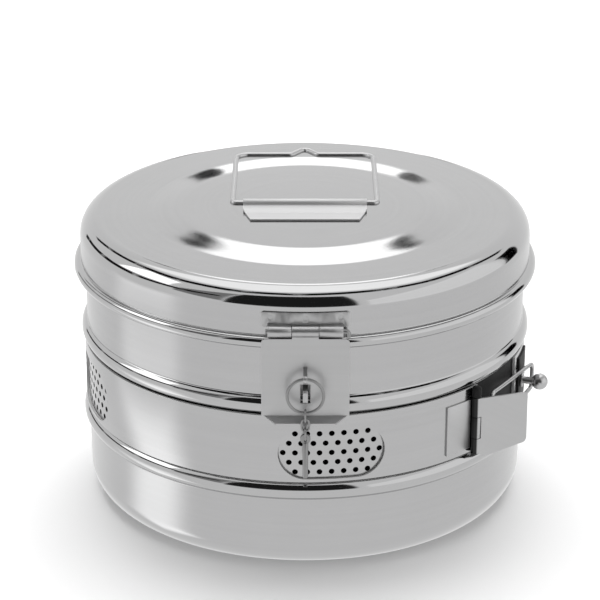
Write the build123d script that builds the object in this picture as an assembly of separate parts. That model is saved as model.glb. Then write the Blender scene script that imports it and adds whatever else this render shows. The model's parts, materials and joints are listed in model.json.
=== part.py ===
from build123d import *
import os
from math import acos, atan2, cos, degrees, hypot, radians, sin, sqrt, tan

# Sterilization drum: a stainless steel drum with a telescoping hinged lid, a hasp and staple in
# front, and a sliding shutter band with oval windows over fields of steam holes.
# Millimetres. +Z is up, the origin is the centre of the base, and the hasp faces -Y.
# An azimuth is measured in degrees from the front (-Y) towards the right (+X).

# ---- Drum shell ----
sheet = 0.8                     # wall of the drawn drum and lid
drum_radius = 120.0             # outside of the drum wall
drum_rim_height = 151.0         # base to the top of the drum's rolled rim
rim_roll_radius = 1.7           # inward roll at the drum's mouth
base_corner_radius = 15.0
foot_ring_width = 12.0          # flat ring that the drum stands on
base_panel_rise = 2.0           # raised middle of the base
base_panel_slope = 5.0          # width of the slope between the foot ring and the raised middle
bead_height = 10.0              # swaged beads round the drum wall
bead_depth = 3.0
lower_bead_z = 46.4
upper_bead_z = 94.7

# ---- Steam holes and the shutter band ----
hole_radius = 1.3
hole_pitch = 6.3                # along a row, on the drum's outside
hole_row_pitch = 5.4
hole_rows = (7, 8, 9, 8, 7)     # holes in each row of one field, from the top
field_z = 68.0                  # middle of a field of holes
field_azimuths = (6.5, -73.5, -153.5, 126.5)
band_sheet = 1.0
band_clearance = 0.6            # between the drum wall and the band
band_edge_gap = 0.5             # between the band and the beads that hold it
window_length = 55.5
window_height = 28.6
gap_start_azimuth = 48.0        # azimuths of the band's two ends, under the clamp
gap_end_azimuth = 68.5

# ---- Lid ----
lid_clearance = 1.7             # radial, between the drum wall and the lid's skirt
lid_skirt_bottom = 126.9
lid_height = 31.3               # skirt bottom to the flat of the lid
lid_shoulder_radius = 10.9
lid_bead_height = 6.5
lid_bead_depth = 3.6
lid_bead_lift = 0.5             # plain edge left under the lid's bead
plateau_rise = 1.8
plateau_radius = 65.0
plateau_foot_radius = 87.0

# ---- Lid handle and its bracket ----
handle_wire = 3.0
handle_width = 78.5             # between the centres of the side wires
handle_pivot_y = -4.5
handle_reach = 84.9             # pivot to the centre of the grip
handle_corner = 7.5
handle_pivot_corner = 2.2
handle_hump_width = 15.0
handle_hump_reach = 11.0
handle_hump_bend = 3.0
handle_tilt = 0.8               # degrees that the folded handle slopes down to the lid
bracket_sheet = 0.9
bracket_length = 67.0
bracket_front_length = 58.5     # along the flange's free edge
bracket_flange = 21.0           # pivot to the flange's free edge
bracket_taper = 14.5            # depth of the flange's slanting corners
bracket_ramp = 11.0             # pivot to the foot of the ramp up to the barrel
bracket_ramp_angle = 10.0

# ---- Hinges ----
seat = 0.05                     # joint line between parts welded face to face
pin_fit = 0.05                  # radial running clearance of hinge pins and wires
knuckle_gap = 0.3
knuckle_radius = 3.0
pin_radius = 1.3
leaf_sheet = 0.9
pass_gap = 0.3                  # hinge and hasp sheets pass the lid's bead this far off

# ---- Hasp ----
hasp_sheet = 1.0
hasp_pin_z = 138.0
hasp_leaf_width = 45.0
hasp_leaf_top = 147.0
hasp_knuckle_span = 38.0
hasp_knuckle_middle = 13.4
hasp_plate_width = 44.6
hasp_plate_top = 134.6
hasp_plate_bottom = 92.5
hasp_corner = 2.5
hasp_lip_drop = 3.8
hasp_lip_reach = 2.6
hasp_slot_width = 5.0
hasp_slot_height = 10.4
hasp_slot_z = 104.5
weld_dimple_radius = 1.3
weld_dimple_depth = 0.25
weld_dimple_pitch = 17.5
pin_tail_drop = 2.9

# ---- Staple on the drum ----
staple_foot_width = 14.0
staple_foot_height = 19.0
staple_foot_z = 111.0
staple_sheet = 1.0
nose_thickness = 2.5
nose_height = 7.0
nose_end_wall = 1.3
nose_corner = 1.2
lock_pin_radius = 1.4
lock_pin_play = 0.25

# ---- Ring, chain and locking pin ----
ring_wire_radius = 0.75
ring_radius = 9.25              # to the middle of the wire
ring_centre_z = 106.3
ring_stand_off = 4.2            # from the lip's front to the middle of the ring's wire
ring_play = 0.25
lug_thickness = 2.0
lug_height = 7.5
lug_end_wall = 1.2
chain_wire_radius = 0.55
link_length = 7.4               # outside
link_width = 4.8                # outside
link_count = 3
link_play = 0.15
lock_pin_length = 20.0
lock_head_radius = 2.6
lock_head_thickness = 1.6

# ---- Rear hinge ----
rear_hinge_width = 40.0
rear_hinge_middle = 15.4
rear_pin_lift = 0.1             # hinge axis above the lid's skirt bottom
rear_upper_bottom = 137.0
rear_upper_top = 147.0
rear_lower_top = 111.5
rear_lower_bottom = 101.0
rear_pin_overhang = 1.2

# ---- Clamp that closes the shutter band ----
clamp_azimuth = 46.3            # hinge pin of the lever
clamp_knuckle_radius = 2.6
clamp_pin_radius = 1.3
clamp_leaf_start_azimuth = 37.2     # the hinge leaf's free edge
clamp_leaf_low = 55.0
clamp_leaf_high = 83.0
clamp_sheet = 0.9
lever_low = 49.5
lever_high = 78.5
lever_sheet = 1.2
lever_length = 34.5
lever_stand_off = 8.0           # degrees that the lever leans away from the drum
lever_corner = 2.5
lever_middle_low = 61.0         # the leaf's middle knuckle
lever_middle_high = 73.0
clamp_head_radius = 2.5
clamp_head_height = 6.0
clamp_head_round = 1.6
loop_wire_radius = 1.1
loop_pivot = 11.0               # from the lever's hinge pin, along the lever
loop_tunnel_wall = 1.0
loop_tunnel_weld = 0.5          # depth that the tunnel is welded into the lever
loop_tunnel_height = 8.5
loop_height = 14.0              # between the centres of the loop's two arms, at the stud
loop_lever_height = 24.0        # the same at the lever
loop_corner = 3.0
stud_azimuth = 74.0
stud_z = 71.0
stud_neck_radius = 2.0
stud_flange_radius = 4.0
stud_flange_thickness = 0.8
stud_neck_length = 5.2
stud_head_radius = 4.5
stud_lift = 0.1                  # play under the stud's flange
keeper_sheet = 1.0
keeper_start_azimuth = 71.0
keeper_end_azimuth = 80.0
keeper_low = 59.0
keeper_high = 86.0

# ---- Worked out from the dimensions above ----
lid_inner_radius = drum_radius + lid_clearance
lid_radius = lid_inner_radius + sheet
lid_flat_z = lid_skirt_bottom + lid_height
lid_bead_z = lid_skirt_bottom + lid_bead_lift + lid_bead_height / 2
lid_bead_outside = lid_radius + lid_bead_depth
plateau_z = lid_flat_z + plateau_rise
band_inner = drum_radius + band_clearance
band_outer = band_inner + band_sheet
band_low = lower_bead_z + bead_height / 2 + band_edge_gap
band_high = upper_bead_z - bead_height / 2 - band_edge_gap
hinge_reach = lid_bead_outside + pass_gap + knuckle_radius
hasp_reach = lid_radius + knuckle_gap + knuckle_radius
hasp_inner_y = -(lid_bead_outside + pass_gap)
hasp_outer_y = hasp_inner_y - hasp_sheet
ring_y = hasp_outer_y - hasp_lip_reach - ring_stand_off
ring_pivot_z = ring_centre_z + ring_radius
rear_pin_z = lid_skirt_bottom + rear_pin_lift
handle_wire_radius = handle_wire / 2
barrel_inner = handle_wire_radius + pin_fit
barrel_outer = barrel_inner + bracket_sheet
handle_pivot_z = plateau_z + seat + barrel_outer


def on_drum(azimuth, radius, height):
    """Plane on a cylinder round the drum: X is tangential, Y is up and Z points outwards."""
    a = radians(azimuth)
    outwards = (sin(a), -cos(a), 0)
    return Plane(origin=(radius * outwards[0], radius * outwards[1], height),
                 x_dir=(cos(a), sin(a), 0), z_dir=outwards)


def ring_wall(inner, outer, low, high):
    """A plain tube on the drum's axis."""
    wall = Cylinder(outer, high - low, align=(Align.CENTER, Align.CENTER, Align.MIN))
    wall -= Cylinder(inner, high - low, align=(Align.CENTER, Align.CENTER, Align.MIN))
    return Pos(0, 0, low) * wall


def curved_patch(inner, thickness, azimuth, width, low, high, corner):
    """A sheet pad with rounded corners that follows the drum."""
    outline = on_drum(azimuth, 0, (low + high) / 2) * RectangleRounded(width, high - low, corner)
    return ring_wall(inner, inner + thickness, low, high) & extrude(outline, inner + 2 * thickness)


def sector_patch(inner, thickness, start, end, low, high):
    """A sheet that follows the drum between two azimuths."""
    with BuildSketch() as outline:
        with BuildLine():
            arcs = []
            for radius in (inner, inner + thickness):
                points = [on_drum(a, radius, 0).origin for a in (start, (start + end) / 2, end)]
                arcs.append(ThreePointArc(*points))
            Line(arcs[0] @ 0, arcs[1] @ 0)
            Line(arcs[0] @ 1, arcs[1] @ 1)
        make_face()
    return Pos(0, 0, low) * extrude(outline.sketch, high - low)


def rod_x(radius, start, end, y, z):
    """A round bar along X."""
    return Pos((start + end) / 2, y, z) * Rot(0, 90, 0) * Cylinder(radius, end - start)


def bore_x(radius, y, z):
    """A drill along X, longer than any piece is wide."""
    return rod_x(radius, -drum_radius, drum_radius, y, z)


def bore_z(radius, axis):
    """A drill along Z through the whole height of the drum."""
    return Pos(axis.X, axis.Y, drum_rim_height / 2) * Cylinder(radius, drum_rim_height)


def full_drum(radius):
    """A solid as wide as a surface of the drum and higher than all of it."""
    return Cylinder(radius, 4 * drum_rim_height)


def wire(points, radii, wire_radius):
    """Round wire along straight runs joined by tangent arcs."""
    path = FilletPolyline(*points, radius=radii)
    start = Plane(origin=path @ 0, z_dir=path % 0)
    return sweep(start * Circle(wire_radius), path=path)


# ---------------------------------------------------------------- shells turned about Z
def bead_arc(wall_radius, middle_z, height, depth, inset):
    """Lower end, crest and upper end of a swaged bead, on the surface inset from the outside."""
    arc_radius = (height ** 2 / 4 + depth ** 2) / (2 * depth)
    arc_centre = wall_radius + depth - arc_radius
    radius = arc_radius - inset
    wall = wall_radius - inset
    half = sqrt(radius ** 2 - (wall - arc_centre) ** 2)
    return (wall, middle_z - half), (arc_centre + radius, middle_z), (wall, middle_z + half)


def turned_shell(side):
    """Revolve the closed profile between the outside and the inside of a sheet metal shell."""
    with BuildSketch(Plane.XZ) as profile:
        with BuildLine():
            outside = side(0)
            inside = side(sheet)
            Line(outside[0], inside[0])
            Line(outside[1], inside[1])
        make_face()
    return revolve(profile.sketch, Axis.Z)


def drum_side(inset):
    """One surface of the drum from the middle of the base to the mouth."""
    radius = drum_radius - inset
    corner = base_corner_radius - inset
    centre = drum_radius - base_corner_radius
    diagonal = corner * sin(radians(45))
    slope_foot = centre - foot_ring_width
    start = (0, base_panel_rise + inset)
    Polyline(start, (slope_foot - base_panel_slope, base_panel_rise + inset),
             (slope_foot, inset), (centre, inset))
    ThreePointArc((centre, inset), (centre + diagonal, base_corner_radius - diagonal),
                  (radius, base_corner_radius))
    at = (radius, base_corner_radius)
    for bead_z in (lower_bead_z, upper_bead_z):
        low, crest, high = bead_arc(drum_radius, bead_z, bead_height, bead_depth, inset)
        Line(at, low)
        ThreePointArc(low, crest, high)
        at = high
    roll = rim_roll_radius - inset
    roll_x = drum_radius - rim_roll_radius
    roll_z = drum_rim_height - rim_roll_radius
    Line(at, (radius, roll_z))
    end = (roll_x - roll, roll_z)
    ThreePointArc((radius, roll_z), (roll_x, roll_z + roll), end)
    return start, end


def lid_side(inset):
    """One surface of the lid from the middle of its top to the edge of its skirt."""
    flat = lid_flat_z - inset
    start = (0, flat + plateau_rise)
    shoulder = lid_shoulder_radius - inset
    centre = lid_radius - lid_shoulder_radius
    diagonal = shoulder * sin(radians(45))
    shoulder_z = lid_flat_z - lid_shoulder_radius
    Line(start, (plateau_radius, flat + plateau_rise))
    Bezier((plateau_radius, flat + plateau_rise),
           ((plateau_radius + plateau_foot_radius) / 2, flat + plateau_rise),
           ((plateau_radius + plateau_foot_radius) / 2, flat), (plateau_foot_radius, flat))
    Line((plateau_foot_radius, flat), (centre, flat))
    ThreePointArc((centre, flat), (centre + diagonal, shoulder_z + diagonal),
                  (lid_radius - inset, shoulder_z))
    low, crest, high = bead_arc(lid_radius, lid_bead_z, lid_bead_height, lid_bead_depth, inset)
    Line((lid_radius - inset, shoulder_z), high)
    ThreePointArc(high, crest, low)
    end = (lid_radius - inset, lid_skirt_bottom)
    Line(low, end)
    return start, end


def steam_holes(azimuth):
    """Radial drills for one field of holes, in staggered rows."""
    drills = []
    step = degrees(hole_pitch / drum_radius)
    top = field_z + hole_row_pitch * (len(hole_rows) - 1) / 2
    for row, count in enumerate(hole_rows):
        for column in range(count):
            at = azimuth + step * (column - (count - 1) / 2)
            start = on_drum(at, drum_radius - 3 * sheet, top - hole_row_pitch * row)
            drills.append(extrude(start * Circle(hole_radius), 6 * sheet))
    return drills


def drum_shell():
    shell = turned_shell(drum_side)
    return shell - [drill for azimuth in field_azimuths for drill in steam_holes(azimuth)]


def shutter_band():
    band = ring_wall(band_inner, band_outer, band_low, band_high)
    gap_low = band_low - band_sheet
    gap_high = band_high + band_sheet
    band -= sector_patch(band_inner - band_sheet, 3 * band_sheet, gap_start_azimuth, gap_end_azimuth,
                         gap_low, gap_high)
    for azimuth in field_azimuths:
        start = on_drum(azimuth, band_inner - 8 * band_sheet, field_z)
        band -= extrude(start * SlotOverall(window_length, window_height), 12 * band_sheet)
    return band


# ---------------------------------------------------------------- lid handle
def handle_bracket():
    """A sheet flange on the plateau that ramps up to a barrel round the handle's pivot wire."""
    half = bracket_length / 2
    front_half = bracket_front_length / 2
    front = handle_pivot_y - bracket_flange
    back = handle_pivot_y + barrel_outer
    foot = plateau_z + seat
    ramp_y = handle_pivot_y - bracket_ramp
    rise = bracket_ramp * tan(radians(bracket_ramp_angle))
    side = make_face(Polyline(
        (front, foot), (ramp_y, foot), (handle_pivot_y, foot + rise),
        (handle_pivot_y, foot + rise + bracket_sheet), (ramp_y, foot + bracket_sheet),
        (front, foot + bracket_sheet), close=True))
    sheet = extrude(Plane.YZ * side, half, both=True)
    outline = make_face(Polyline(
        (-half, back), (half, back), (half, front + bracket_taper), (front_half, front),
        (-front_half, front), (-half, front + bracket_taper), close=True))
    sheet = sheet & extrude(outline, lid_flat_z + drum_radius)
    barrel = rod_x(barrel_outer, -half, half, handle_pivot_y, handle_pivot_z)
    return sheet + barrel - rod_x(barrel_inner, -half, half, handle_pivot_y, handle_pivot_z)


def lid_handle():
    """A closed wire bail whose ends butt inside the barrel, folded down towards the rear."""
    half = handle_width / 2
    hump = handle_hump_width / 2
    butt = 0.2
    points = [(-butt, 0), (-half, 0), (-half, handle_reach), (-hump, handle_reach),
              (0, handle_reach + handle_hump_reach), (hump, handle_reach), (half, handle_reach),
              (half, 0), (butt, 0)]
    radii = [handle_pivot_corner, handle_corner] + [handle_hump_bend] * 3 \
        + [handle_corner, handle_pivot_corner]
    bail = wire(points, radii, handle_wire_radius)
    return Pos(0, handle_pivot_y, handle_pivot_z) * Rot(-handle_tilt, 0, 0) * bail


# ---------------------------------------------------------------- hinge pieces
def knuckles(spans, y, z):
    """Rolled knuckles along X, bored for the pin."""
    barrels = [rod_x(knuckle_radius, start, end, y, z) for start, end in spans]
    return Part() + barrels


def knuckle_spans(span, middle):
    """Outer pair and middle knuckle of a three-knuckle hinge."""
    inner = middle / 2 + knuckle_gap
    return [(-span / 2, -inner), (inner, span / 2)], [(-middle / 2, middle / 2)]


def stepped_strips(spans, wall, step_z, pin_z):
    """Strips of leaf that step out past the lid's bead and roll into knuckles, on the +Y side.

    The strips start in the middle of the leaf's pad, which lies against the wall."""
    towards_pin = 1 if pin_z > step_z else -1
    pad_middle = wall + leaf_sheet / 2
    root = sqrt(pad_middle ** 2 - (rear_hinge_width / 2) ** 2) - leaf_sheet
    inner_y = hinge_reach - knuckle_radius + seat
    side = Pos((root + inner_y + leaf_sheet) / 2, step_z + towards_pin * leaf_sheet / 2) * Rectangle(
        inner_y + leaf_sheet - root, leaf_sheet)
    side += Pos(inner_y + leaf_sheet / 2, (step_z + pin_z) / 2) * Rectangle(
        leaf_sheet, abs(pin_z - step_z))
    side += Pos(hinge_reach, pin_z) * Circle(knuckle_radius)
    side -= Pos(hinge_reach, pin_z) * Circle(pin_radius + pin_fit)
    strips = [Pos(start, 0, 0) * extrude(Plane.YZ * side, end - start) for start, end in spans]
    return Part() + strips - full_drum(pad_middle)


def hasp_hinge_leaf():
    """Leaf welded on the lid's skirt, with the two outer knuckles and three weld dimples."""
    outer, _ = knuckle_spans(hasp_knuckle_span, hasp_knuckle_middle)
    skirt = lid_radius + seat
    leaf = curved_patch(skirt, leaf_sheet, 0, hasp_leaf_width, hasp_pin_z + 1, hasp_leaf_top, 1.5)
    shelf_top = hasp_pin_z + knuckle_radius - seat
    for start, end in outer:
        shelf = Pos((start + end) / 2, -hasp_reach / 2, shelf_top - leaf_sheet / 2)
        leaf += shelf * Box(end - start, hasp_reach, leaf_sheet) - full_drum(skirt + leaf_sheet / 2)
    leaf += knuckles(outer, -hasp_reach, hasp_pin_z)
    leaf -= bore_x(pin_radius + pin_fit, -hasp_reach, hasp_pin_z)
    middle_half = hasp_knuckle_middle / 2
    leaf -= rod_x(knuckle_radius + knuckle_gap, -middle_half, middle_half, -hasp_reach, hasp_pin_z)
    for step in (-1, 0, 1):
        azimuth = degrees(step * weld_dimple_pitch / lid_radius)
        face = on_drum(azimuth, skirt + leaf_sheet - weld_dimple_depth, (hasp_leaf_top + shelf_top) / 2)
        leaf -= extrude(face * Circle(weld_dimple_radius), 2 * leaf_sheet)
    return leaf


def hasp_pin():
    """Hinge pin, held by a bent tail that hangs between the knuckles and the hasp's edge."""
    left = -hasp_knuckle_span / 2 - 1
    right = hasp_knuckle_span / 2 + 2 * pin_radius
    points = [(left, -hasp_reach, hasp_pin_z), (right, -hasp_reach, hasp_pin_z),
              (right, -hasp_reach, hasp_pin_z - pin_tail_drop)]
    return wire(points, 1.6, pin_radius)


def hasp_plate():
    """The hasp: a knuckle, a flat plate over the drum's upper bead, a slot and a turned-out lip."""
    _, middle = knuckle_spans(hasp_knuckle_span, hasp_knuckle_middle)
    half = hasp_plate_width / 2
    face = Plane(origin=(0, hasp_inner_y, 0), x_dir=(1, 0, 0), z_dir=(0, -1, 0))
    height = hasp_plate_top - hasp_plate_bottom
    body = Pos(0, (hasp_plate_top + hasp_plate_bottom) / 2) * RectangleRounded(
        hasp_plate_width, height, hasp_corner)
    foot = Pos(0, hasp_plate_bottom + hasp_corner / 2) * Rectangle(hasp_plate_width, hasp_corner)
    tongue = Pos(0, (hasp_pin_z + hasp_plate_top) / 2 - 1) * Rectangle(
        hasp_knuckle_middle, hasp_pin_z - hasp_plate_top + 2)
    slot = Pos(0, hasp_slot_z) * Rectangle(hasp_slot_width, hasp_slot_height)
    plate = extrude(face * (body + foot + tongue - slot), hasp_sheet)
    lip = make_face(Polyline(
        (hasp_inner_y, hasp_plate_bottom), (hasp_outer_y, hasp_plate_bottom),
        (hasp_outer_y - hasp_lip_reach, hasp_plate_bottom - hasp_lip_drop),
        (hasp_outer_y - hasp_lip_reach + hasp_sheet, hasp_plate_bottom - hasp_lip_drop - hasp_sheet / 2),
        close=True))
    plate += extrude(Plane.YZ * lip, half - hasp_corner, both=True)
    plate += knuckles(middle, -hasp_reach, hasp_pin_z)
    return plate - bore_x(pin_radius + pin_fit, -hasp_reach, hasp_pin_z)


def hasp_ring_lug():
    """A standing lug on the hasp plate that carries the ring."""
    end = ring_y - ring_wire_radius - ring_play - lug_end_wall
    root = hasp_outer_y - seat
    tip_radius = ring_wire_radius + ring_play + lug_end_wall
    tip = end + tip_radius
    side = make_face(Polyline(
        (root, ring_pivot_z - lug_height / 2), (root, ring_pivot_z + lug_height / 2),
        (tip, ring_pivot_z + tip_radius), (tip, ring_pivot_z - tip_radius), close=True))
    side += Pos(tip, ring_pivot_z) * Circle(tip_radius)
    side -= Pos(ring_y, ring_pivot_z) * Circle(ring_wire_radius + ring_play)
    return extrude(Plane.YZ * side, lug_thickness / 2, both=True)


def hasp_staple():
    """Foot welded on the drum wall, and a nose that stands through the hasp's slot."""
    wall = drum_radius + seat
    foot = curved_patch(wall, staple_sheet, 0, staple_foot_width, staple_foot_z - staple_foot_height / 2,
                        staple_foot_z + staple_foot_height / 2, 2)
    hole = lock_pin_radius + lock_pin_play
    hole_y = hasp_outer_y - pass_gap - hole
    end = hole_y - hole - nose_end_wall
    root = -(wall + staple_sheet / 2)
    side = Pos((root + end) / 2, hasp_slot_z) * RectangleRounded(root - end, nose_height, nose_corner)
    side += Pos((root + hasp_inner_y) / 2, hasp_slot_z) * Rectangle(root - hasp_inner_y, nose_height)
    nose = extrude(Plane.YZ * side, nose_thickness / 2, both=True) - full_drum(wall + staple_sheet / 2)
    nose -= bore_x(hole, hole_y, hasp_slot_z)
    return foot + nose


# ---------------------------------------------------------------- ring, chain and locking pin
def split_ring():
    """Ring threaded through the lug."""
    ring = Torus(ring_radius, ring_wire_radius)
    return Pos(0, ring_y, ring_centre_z) * Rot(90, 0, 0) * ring


def oval_link(centre_z, turned):
    """One welded oval link in the chain's plane, or a quarter turn from it."""
    end_radius = link_width / 2 - chain_wire_radius
    straight = link_length - 2 * chain_wire_radius - 2 * end_radius
    link = Part()
    for side in (-1, 1):
        link += Pos(side * end_radius, 0, 0) * Cylinder(chain_wire_radius, straight)
        half_ring = Rot(90, 0, 0) * Torus(end_radius, chain_wire_radius)
        beyond = Pos(0, 0, side * link_length / 2) * Box(link_length, link_length, link_length)
        link += Pos(0, 0, side * straight / 2) * (half_ring & beyond)
    return Pos(0, ring_y, centre_z) * Rot(0, 0, 90 if turned else 0) * link


link_pitch = link_length - 4 * chain_wire_radius - link_play
first_link_z = (ring_centre_z - ring_radius + ring_wire_radius + 2 * chain_wire_radius + link_play
                - link_length / 2)
last_link_end = first_link_z - (link_count - 1) * link_pitch - link_length / 2 + chain_wire_radius


def chain_links():
    return Compound([oval_link(first_link_z - n * link_pitch, n % 2 == 0) for n in range(link_count)])


def lock_pin():
    """Locking pin: a flat round head with an eye, and a straight shank with a rounded tip."""
    hole = chain_wire_radius + ring_play
    eye_z = last_link_end - chain_wire_radius + hole - link_play
    head = Plane.YZ * (Circle(lock_head_radius))
    shank_top = -lock_head_radius + 0.6
    shank = Pos(0, 0, shank_top - lock_pin_length / 2) * Cylinder(lock_pin_radius, lock_pin_length)
    shank = fillet(shank.edges().sort_by(Axis.Z)[0], lock_pin_radius * 0.7)
    pin = extrude(head, lock_head_thickness / 2, both=True) + shank
    pin -= bore_x(hole, 0, hole - lock_head_radius + lug_end_wall)
    turn = 90 if link_count % 2 == 0 else 0
    return Pos(0, ring_y, eye_z - hole + lock_head_radius - lug_end_wall) * Rot(0, 0, turn + 90) * pin


# ---------------------------------------------------------------- rear hinge
def rear_hinge_leaf(spans, wall, pad_low, pad_high, step_z):
    """Rear leaf: a pad on a wall and the strips that reach from it to the hinge pin."""
    skin = wall + seat
    pad = curved_patch(skin, leaf_sheet, 180, rear_hinge_width, pad_low, pad_high, 1.5)
    return pad + stepped_strips(spans, skin, step_z, rear_pin_z)


def rear_hinge_pin():
    half = rear_hinge_width / 2 + rear_pin_overhang
    pin = rod_x(pin_radius, -half, half, hinge_reach, rear_pin_z)
    return fillet(pin.edges().filter_by(GeomType.CIRCLE), 0.5)


# ---------------------------------------------------------------- clamp
clamp_reach = band_outer + seat + clamp_knuckle_radius
clamp_axis = on_drum(clamp_azimuth, clamp_reach, 0).origin
lever_knuckle_low = band_low + knuckle_gap
lever_heading = radians(clamp_azimuth - lever_stand_off)
lever_plane = Plane(origin=(clamp_axis.X, clamp_axis.Y, 0),
                    x_dir=(cos(lever_heading), sin(lever_heading), 0), z_dir=(0, 0, 1))
lever_inner = -(clamp_knuckle_radius - lever_sheet)      # lever sheet, on the lever's local Y
loop_tunnel_radius = loop_wire_radius + pin_fit + loop_tunnel_wall
loop_local_y = lever_inner + loop_tunnel_radius - loop_tunnel_weld
loop_axis = lever_plane.from_local_coords(Vector(loop_pivot, loop_local_y, 0))
stud_base = band_outer + seat + keeper_sheet
stud_neck_end = stud_flange_thickness + stud_neck_length
stud_head_level = stud_neck_end + sqrt(stud_head_radius ** 2 - stud_neck_radius ** 2)
stud_head = on_drum(stud_azimuth, stud_base + stud_lift + stud_head_level, 0).origin
# The loop is just long enough for its end to swing out past the stud's head.
loop_length = (stud_head - loop_axis).length + stud_head_radius + loop_wire_radius + ring_play
loop_end_radius = stud_base + stud_neck_end - loop_wire_radius - ring_play
loop_axis_radius = hypot(loop_axis.X, loop_axis.Y)
loop_span_cosine = ((loop_axis_radius ** 2 + loop_end_radius ** 2 - loop_length ** 2)
                    / (2 * loop_axis_radius * loop_end_radius))
loop_end_azimuth = degrees(atan2(loop_axis.X, -loop_axis.Y) + acos(loop_span_cosine))


def upright(axis, radius, low, high):
    """A round bar along Z."""
    return Pos(axis.X, axis.Y, (low + high) / 2) * Cylinder(radius, high - low)


def clamp_hinge_leaf():
    """Pad on the band's front end, rolled into the middle knuckle of the lever's hinge."""
    leaf = sector_patch(band_outer + seat, clamp_sheet, clamp_leaf_start_azimuth, clamp_azimuth,
                        clamp_leaf_low, clamp_leaf_high)
    leaf -= upright(clamp_axis, clamp_knuckle_radius + knuckle_gap, 0, lever_middle_low)
    leaf -= upright(clamp_axis, clamp_head_radius + knuckle_gap, lever_middle_high, drum_rim_height)
    leaf += upright(clamp_axis, clamp_knuckle_radius, lever_middle_low, lever_middle_high)
    return leaf - bore_z(clamp_pin_radius + pin_fit, clamp_axis)


def clamp_hinge_pin():
    """Pin with a tall domed head over the upper knuckle."""
    low = lever_knuckle_low
    head_low = lever_high + knuckle_gap
    pin = upright(clamp_axis, clamp_pin_radius, low, head_low + clamp_pin_radius)
    head = upright(clamp_axis, clamp_head_radius, head_low, head_low + clamp_head_height)
    head = fillet(head.edges().sort_by(Axis.Z)[-1], clamp_head_round)
    return pin + head


def clamp_lever():
    """Flat lever with two knuckles, and a tunnel behind it for the draw loop."""
    outline = Pos(lever_length / 2, (lever_low + lever_high) / 2) * RectangleRounded(
        lever_length, lever_high - lever_low, lever_corner)
    outline += Pos(lever_corner / 2, (lever_low + lever_high) / 2) * Rectangle(
        lever_corner, lever_high - lever_low)
    face = Plane(origin=lever_plane.from_local_coords(Vector(0, lever_inner, 0)),
                 x_dir=lever_plane.x_dir, z_dir=-lever_plane.y_dir)
    lever = extrude(face * outline, lever_sheet)
    lever -= upright(clamp_axis, clamp_knuckle_radius + knuckle_gap,
                     lever_middle_low - knuckle_gap, lever_middle_high + knuckle_gap)
    for low, high in ((lever_knuckle_low, lever_middle_low - knuckle_gap),
                      (lever_middle_high + knuckle_gap, lever_high)):
        lever += upright(clamp_axis, clamp_knuckle_radius, low, high)
    lever += upright(loop_axis, loop_tunnel_radius, stud_z - loop_tunnel_height / 2,
                     stud_z + loop_tunnel_height / 2)
    lever -= bore_z(clamp_pin_radius + pin_fit, clamp_axis)
    return lever - bore_z(loop_wire_radius + pin_fit, loop_axis)


def draw_loop():
    """Wire loop from the lever's tunnel round the neck of the stud."""
    end = on_drum(loop_end_azimuth, loop_end_radius, 0).origin
    heading = degrees(atan2(end.Y - loop_axis.Y, end.X - loop_axis.X))
    half = loop_height / 2
    wide = loop_lever_height / 2
    butt = 0.2
    points = [(0, 0, butt), (0, 0, wide), (loop_length, 0, half), (loop_length, 0, -half), (0, 0, -wide),
              (0, 0, -butt)]
    loop = wire(points, loop_corner, loop_wire_radius)
    return Pos(loop_axis.X, loop_axis.Y, stud_z) * Rot(0, 0, heading) * loop


def keeper_pad():
    return sector_patch(band_outer + seat, keeper_sheet, keeper_start_azimuth, keeper_end_azimuth,
                        keeper_low, keeper_high)


def keeper_stud():
    """Flanged stud with a rounded head, riveted on the band's rear end."""
    head_end = stud_head_level + stud_head_radius
    with BuildSketch(Plane.XZ) as profile:
        with BuildLine():
            Polyline((0, seat), (stud_flange_radius, seat), (stud_flange_radius, stud_flange_thickness),
                     (stud_neck_radius, stud_flange_thickness), (stud_neck_radius, stud_neck_end))
            ThreePointArc((stud_neck_radius, stud_neck_end), (stud_head_radius, stud_head_level),
                          (0, head_end))
            Line((0, head_end), (0, seat))
        make_face()
    stud = revolve(profile.sketch, Axis.Z)
    return on_drum(stud_azimuth, stud_base + stud_lift, stud_z) * stud


pieces = {
    "drum_shell": drum_shell(),
    "hasp_staple": hasp_staple(),
    "rear_hinge_lower_leaf": rear_hinge_leaf(
        knuckle_spans(rear_hinge_width, rear_hinge_middle)[1], drum_radius, rear_lower_bottom,
        rear_lower_top, rear_lower_top - leaf_sheet),
    "rear_hinge_pin": rear_hinge_pin(),
    "rear_hinge_upper_leaf": rear_hinge_leaf(
        knuckle_spans(rear_hinge_width, rear_hinge_middle)[0], lid_radius, rear_upper_bottom,
        rear_upper_top, rear_upper_bottom + leaf_sheet),
    "lid_shell": turned_shell(lid_side),
    "handle_bracket": handle_bracket(),
    "lid_handle": lid_handle(),
    "hasp_hinge_leaf": hasp_hinge_leaf(),
    "hasp_pin": hasp_pin(),
    "hasp_plate": hasp_plate(),
    "hasp_ring_lug": hasp_ring_lug(),
    "split_ring": split_ring(),
    "chain_links": chain_links(),
    "lock_pin": lock_pin(),
    "shutter_band": shutter_band(),
    "clamp_hinge_leaf": clamp_hinge_leaf(),
    "clamp_hinge_pin": clamp_hinge_pin(),
    "clamp_lever": clamp_lever(),
    "draw_loop": draw_loop(),
    "keeper_pad": keeper_pad(),
    "keeper_stud": keeper_stud(),
}

os.makedirs("parts", exist_ok=True)
for name, shape in pieces.items():
    export_step(shape, f"parts/{name}.step")
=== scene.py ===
import json
import math

import bmesh
import bpy
from mathutils import Matrix, Vector


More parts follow.
